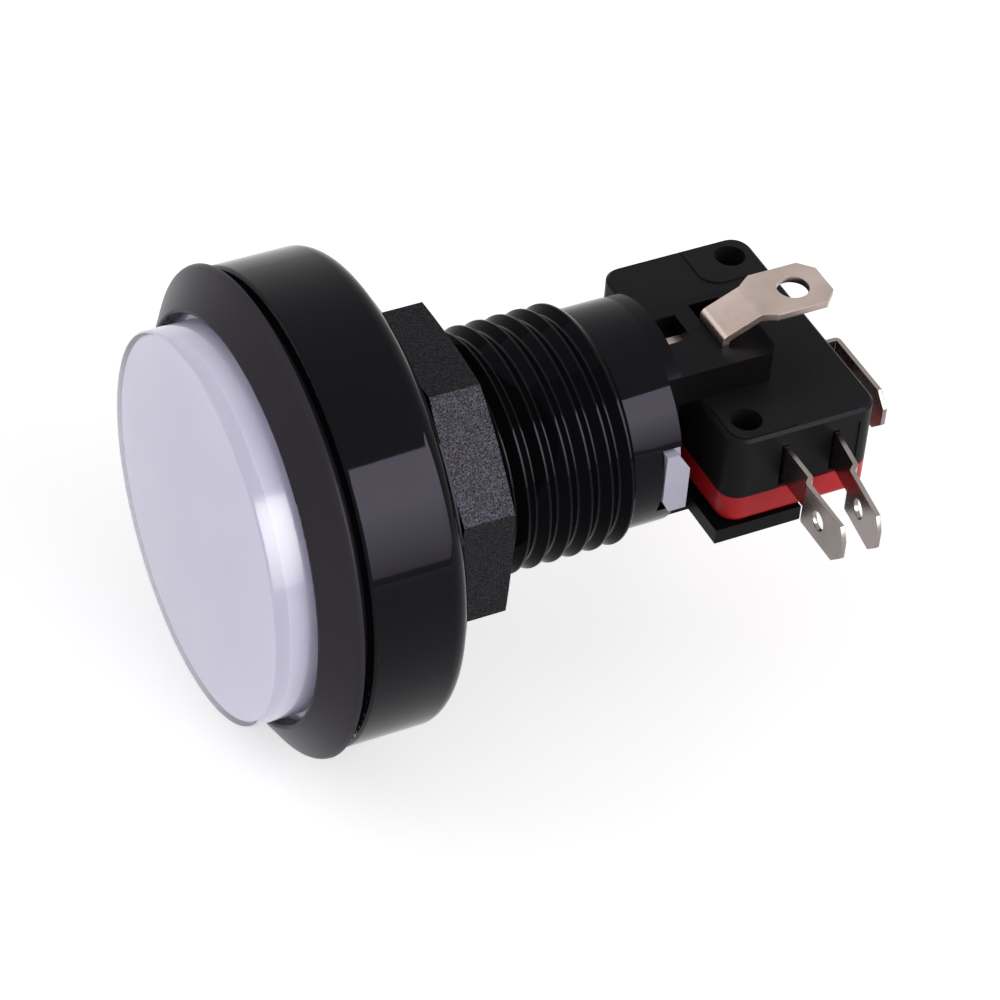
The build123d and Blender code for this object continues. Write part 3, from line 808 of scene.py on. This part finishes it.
@dataclass
class Head(Assembly):
    """Bowl with its barrel, bezel ring, lens, diffuser, plunger and return spring."""

    lens_r: float = 18.9
    lens_edge: float = 0.25
    inner_edge: float = 0.15
    flange_height: float = 0.8
    bond: float = 0.02
    rim_steps: int = 8
    inner_steps: int = 5
    lens_points: int = 192
    turns: int = 5
    wire: float = 1.0
    wire_points: int = 14
    turn_steps: int = 48
    housing_edge: float = 0.02
    housing_flow: float = 50.0
    thread_from: float = 1.0
    plunger_edge: float = 0.15

    def build_lens(self) -> bpy.types.Object:
        """Turns the clear lens with its rounded rim and foot flange, bonded to the diffuser inside it.

        Returns:
            The lens.
        """
        low, high = (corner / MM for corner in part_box("lens_cover"))
        white_low, white_high = (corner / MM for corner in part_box("diffuser"))
        front, back = low.y, high.y
        inner_r = white_high.x - self.bond
        inner = white_low.y + self.bond
        middle = (self.lens_r - self.lens_edge, front + self.lens_edge)
        rim = Bench.arc(middle, self.lens_edge, -90, 0, self.rim_steps)
        middle = (inner_r - self.inner_edge, inner + self.inner_edge)
        hollow = Bench.arc(middle, self.inner_edge, 0, -90, self.inner_steps)
        foot = back - self.flange_height
        flange = [(self.lens_r, foot), (high.x, foot), (high.x, back), (inner_r, back)]
        lens = Bench.lathe("lens_turned", [*rim, *flange, *hollow], self.lens_points)
        Bench.smooth(lens)
        return lens

    def build_spring(self) -> bpy.types.Object:
        """Winds the return spring from a ring of wire.

        Returns:
            The spring.
        """
        low, high = (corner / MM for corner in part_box("return_spring"))
        coil_r = (high.x - low.x - self.wire) / 2
        rise = high.y - low.y - self.wire
        Bench.clear()
        bpy.ops.mesh.primitive_circle_add(
            vertices=self.wire_points,
            radius=self.wire / 2 * MM,
            location=(coil_r * MM, (low.y + self.wire / 2) * MM, 0),
        )
        spring = bpy.context.object
        spring.name = "return_spring_wound"
        bpy.ops.object.transform_apply(location=True, rotation=True)
        wind = spring.modifiers.new("wind", "SCREW")
        wind.axis = "Y"
        wind.angle = math.tau
        wind.screw_offset = rise / self.turns * MM
        wind.iterations = self.turns
        wind.steps = wind.render_steps = self.turn_steps
        bpy.ops.object.modifier_apply(modifier=wind.name)
        bpy.ops.object.mode_set(mode="EDIT")
        bpy.ops.mesh.select_all(action="SELECT")
        bpy.ops.mesh.remove_doubles(threshold=Bench.WELD)
        bpy.ops.mesh.fill_holes(sides=0)
        bpy.ops.mesh.normals_make_consistent(inside=False)
        bpy.ops.object.mode_set(mode="OBJECT")
        Bench.smooth(spring)
        return spring

    def build(self) -> None:
        """Builds and dresses the head's pieces."""
        self.edge(
            "housing", Finishes.gloss_abs, self.housing_edge, self.housing_flow, self.thread_from
        )
        self.dress("bezel_ring", Finishes.ring_abs_painted_sheen)
        self.seat(self.build_lens(), "lens_cover", Finishes.acrylic)
        self.dress("diffuser", Finishes.milky)
        self.edge("plunger", Finishes.acetal, self.plunger_edge)
        spring = self.build_spring()
        self.seat(spring, "return_spring", Finishes.wire)
        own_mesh(spring)


@dataclass
class Mounting(Assembly):
    """The nut that clamps the button to its panel."""

    nut_edge: float = 0.15

    def build(self) -> None:
        """Dresses the nut."""
        self.edge("mounting_nut", Finishes.nut_abs, self.nut_edge)


@dataclass
class LampUnit(Assembly):
    """Lamp holder with its lamp and its two terminals."""

    holder_edge: float = 0.2
    strip_edge: float = 0.07

    def build(self) -> None:
        """Dresses the lamp unit's pieces."""
        self.edge("lamp_holder", Finishes.nylon, self.holder_edge)
        self.dress("lamp_base", Finishes.lamp_pbt)
        self.dress("lamp_bulb", Finishes.lamp_epoxy)
        self.dress("lamp_leads", Finishes.tinned)
        for name in ("lamp_terminal_upper", "lamp_terminal_lower"):
            self.edge(name, Finishes.nickel, self.strip_edge)


@dataclass
class SnapSwitch(Assembly):
    """Snap-action switch with its case, pin, terminals and contacts."""

    case_edge: float = 0.2
    cover_edge: float = 0.15
    tab_edge: float = 0.06

    def build_leaf(self) -> bpy.types.Object:
        """Copies the snap leaf in place, with the wire finish, and hides the solid.

        Returns:
            The leaf.
        """
        solid = self.nodes["snap_spring"]
        leaf = bpy.data.objects.new("snap_leaf_bent", solid.data.copy())
        bpy.context.scene.collection.objects.link(leaf)
        leaf.data.materials.clear()
        leaf.data.materials.append(self.finishes.get(Finishes.wire))
        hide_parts("snap_spring")
        self.slot_of("snap_spring")
        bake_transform(leaf)
        LOG.info("%s for snap_spring: %s", leaf.name, Finishes.wire.name)
        return leaf

    def build(self) -> None:
        """Dresses the switch's pieces."""
        self.edge("switch_case", Finishes.case_pbt, self.case_edge)
        self.edge("switch_cover", Finishes.red_pbt, self.cover_edge)
        self.dress("switch_pin", Finishes.red_pbt)
        for name in ("terminal_common", "terminal_normally_closed", "terminal_normally_open"):
            self.edge(name, Finishes.silver, self.tab_edge)
        for name in ("contact_normally_closed", "contact_normally_open", "moving_contact"):
            self.dress(name, Finishes.contact)
        self.dress("contact_blade", Finishes.bronze)
        self.build_leaf()


@dataclass(frozen=True)
class Softbox:
    """One soft rectangular studio light, aimed at the button."""

    name: str
    direction: tuple[float, float, float]
    distance: float
    width: float
    height: float
    radiance: float
    mirrored: bool = True

    def stand(self, aim: Vector, distance: float) -> Matrix:
        """Gives the place and turn of something that faces the button from the light's direction.

        Args:
            aim: the point that it faces.
            distance: how far it stands from there, in metres.

        Returns:
            Its matrix.
        """
        way = Vector(self.direction).normalized()
        turn = way.to_track_quat("Z", "Y").to_matrix().to_4x4()
        return Matrix.Translation(aim + way * distance) @ turn

    def build(self, aim: Vector) -> bpy.types.Object:
        """Places the light.

        Args:
            aim: the point that it faces.

        Returns:
            The light's object.
        """
        data = bpy.data.lights.new(self.name, "AREA")
        data.shape = "RECTANGLE"
        data.size, data.size_y = self.width, self.height
        data.energy = self.radiance * math.pi * self.width * self.height
        light = bpy.data.objects.new(self.name, data)
        light.visible_glossy = self.mirrored
        bpy.context.scene.collection.objects.link(light)
        light.matrix_world = self.stand(aim, self.distance)
        return light


@dataclass(frozen=True)
class SoftboxFront:
    """The cloth of a softbox as shiny pieces mirror it: bright above, and fading to its lower edge."""

    box: Softbox
    bright: float
    dim: float
    bright_from: float
    behind: float = 0.02

    def material(self) -> bpy.types.Material:
        """Builds the cloth's material.

        Returns:
            The finished material.
        """
        material, tree = fresh_material("softbox_cloth")
        place = add(tree, "ShaderNodeTexCoord").outputs["Object"]
        height = add(tree, "ShaderNodeSeparateXYZ", {"Vector": place}).outputs["Y"]
        fade = {
            "Value": height,
            "From Min": -self.box.height / 2,
            "From Max": self.bright_from,
            "To Min": self.dim,
            "To Max": self.bright,
        }
        level = add(tree, "ShaderNodeMapRange", fade).outputs["Result"]
        glow = add(tree, "ShaderNodeEmission", {"Color": linear("#ffffff"), "Strength": level})
        close_tree(tree, glow.outputs["Emission"])
        return material

    def build(self, aim: Vector) -> bpy.types.Object:
        """Places the cloth where only reflections see it.

        Args:
            aim: the point that it faces.

        Returns:
            The cloth's object.
        """
        bpy.ops.mesh.primitive_plane_add(size=1.0)
        cloth = bpy.context.object
        cloth.name = f"{self.box.name}_cloth"
        bpy.ops.transform.resize(value=(self.box.width, self.box.height, 1.0))
        bpy.ops.object.transform_apply(scale=True)
        cloth.matrix_world = self.box.stand(aim, self.box.distance + self.behind)
        cloth.data.materials.append(self.material())
        for ray in ("camera", "diffuse", "transmission", "shadow"):
            setattr(cloth, f"visible_{ray}", False)
        cloth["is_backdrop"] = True
        return cloth


@dataclass
class Studio:
    """Pale floor, white surroundings, soft lights and the photograph's camera."""

    floor_level: float
    floor_size: float = 6.0
    floor_colour: str = "#e9e8ea"
    fibre_mm: float = 1.5
    fibre_detail: float = 3.0
    fibre_depth_mm: float = 0.05
    fibre_strength: float = 0.1
    floor_lift: float = 0.55
    surround: float = 0.45
    camera_place: tuple[float, float, float] = (0.2482, -0.1254, 0.2512)
    azimuth: float = 60.649
    elevation: float = 42.229
    roll: float = 4.833
    lens: float = 144.0
    clip: tuple[float, float] = (0.01, 20.0)
    aim: tuple[float, float, float] = (0.0, 0.01, 0.0)
    side: Softbox = Softbox(
        "side_softbox", (0.804, 0.41, 0.4305), 0.7, 0.6, 0.64, 2.0, mirrored=False
    )
    front: Softbox = Softbox("front_softbox", (-0.55, -0.75, 0.75), 0.9, 0.7, 0.7, 1.0)
    cloth_bright: float = 11.0
    cloth_dim: float = 3.6
    cloth_bright_from: float = 0.06

    def background(self, tree: bpy.types.NodeTree) -> bpy.types.NodeSocket:
        """Says which rays see the white background.

        Args:
            tree: the tree to add to.

        Returns:
            An output that is 1 for those rays.
        """
        path = add(tree, "ShaderNodeLightPath")
        total = path.outputs[Ray.CAMERA.value]
        for ray in (Ray.GLOSSY, Ray.TRANSMISSION):
            total = combine(tree, "MAXIMUM", total, path.outputs[ray.value])
        return total

    def build_floor(self) -> bpy.types.Object:
        """Makes the pale floor.

        Returns:
            The floor's object.
        """
        bpy.ops.mesh.primitive_plane_add(size=self.floor_size, location=(0, 0, self.floor_level))
        floor = bpy.context.object
        floor.name = "studio_floor"
        bpy.ops.object.transform_apply(location=True)
        material, tree = fresh_material("floor_paper")
        place = add(tree, "ShaderNodeTexCoord").outputs["Object"]
        relief = {
            "Height": noise(tree, place, self.fibre_mm, self.fibre_detail),
            "Strength": self.fibre_strength,
            "Distance": self.fibre_depth_mm * MM,
        }
        looks = {
            "Color": linear(self.floor_colour),
            "Normal": add(tree, "ShaderNodeBump", relief).outputs["Normal"],
        }
        paper = add(tree, "ShaderNodeBsdfDiffuse", looks)
        lift = combine(tree, "MULTIPLY", self.background(tree), self.floor_lift)
        glow = add(tree, "ShaderNodeEmission", {"Color": linear("#ffffff"), "Strength": lift})
        both = add(tree, "ShaderNodeAddShader", {0: paper.outputs["BSDF"], 1: glow.outputs["Emission"]})
        close_tree(tree, both.outputs["Shader"])
        floor.data.materials.append(material)
        floor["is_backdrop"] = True
        return floor

    def build_world(self) -> None:
        """Makes the white surroundings and their soft fill light."""
        world = bpy.data.worlds.new("studio")
        bpy.context.scene.world = world
        world.use_nodes = True
        tree = world.node_tree
        tree.nodes.clear()
        limits = {"Value": self.background(tree), "To Min": self.surround, "To Max": 1.0}
        level = add(tree, "ShaderNodeMapRange", limits).outputs["Result"]
        sky = add(tree, "ShaderNodeBackground", {"Color": linear("#ffffff"), "Strength": level})
        add(tree, "ShaderNodeOutputWorld", {"Surface": sky.outputs["Background"]})

    def build_camera(self) -> bpy.types.Object:
        """Places the camera as the photograph's.

        Returns:
            The camera's object.
        """
        turn, rise, lean = (math.radians(v) for v in (self.azimuth, self.elevation, self.roll))
        level_reach = math.cos(rise)
        back = Vector((math.sin(turn) * level_reach, -math.cos(turn) * level_reach, math.sin(rise)))
        level = Vector((math.cos(turn), math.sin(turn), 0.0))
        over = back.cross(level)
        right = level * math.cos(lean) + over * math.sin(lean)
        up = over * math.cos(lean) - level * math.sin(lean)
        data = bpy.data.cameras.new("photo_camera")
        data.lens = self.lens
        data.clip_start, data.clip_end = self.clip
        camera = bpy.data.objects.new("photo_camera", data)
        bpy.context.scene.collection.objects.link(camera)
        axes = Matrix((right, up, back)).transposed().to_4x4()
        camera.matrix_world = Matrix.Translation(self.camera_place) @ axes
        bpy.context.scene.camera = camera
        return camera

    def build(self) -> None:
        """Sets up the whole studio."""
        self.build_floor()
        self.build_world()
        aim = Vector(self.aim)
        self.side.build(aim)
        self.front.build(aim)
        cloth = SoftboxFront(self.side, self.cloth_bright, self.cloth_dim, self.cloth_bright_from)
        cloth.build(aim)
        self.build_camera()
        bpy.context.scene.view_settings.view_transform = "Standard"


def main() -> None:
    """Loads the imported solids, dresses them and sets up the studio."""
    logging.basicConfig(level=logging.INFO, format="%(message)s")
    for old in list(bpy.data.objects):
        bpy.data.objects.remove(old)
    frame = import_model()
    solid_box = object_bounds()
    bpy.ops.object.select_all(action="DESELECT")
    finishes = Finishes()
    for kind in (Head, Mounting, LampUnit, SnapSwitch):
        kind(frame["nodes"], frame["record"], finishes).build()
    Studio(solid_box[0].z).build()


if __name__ == "__main__":
    main()
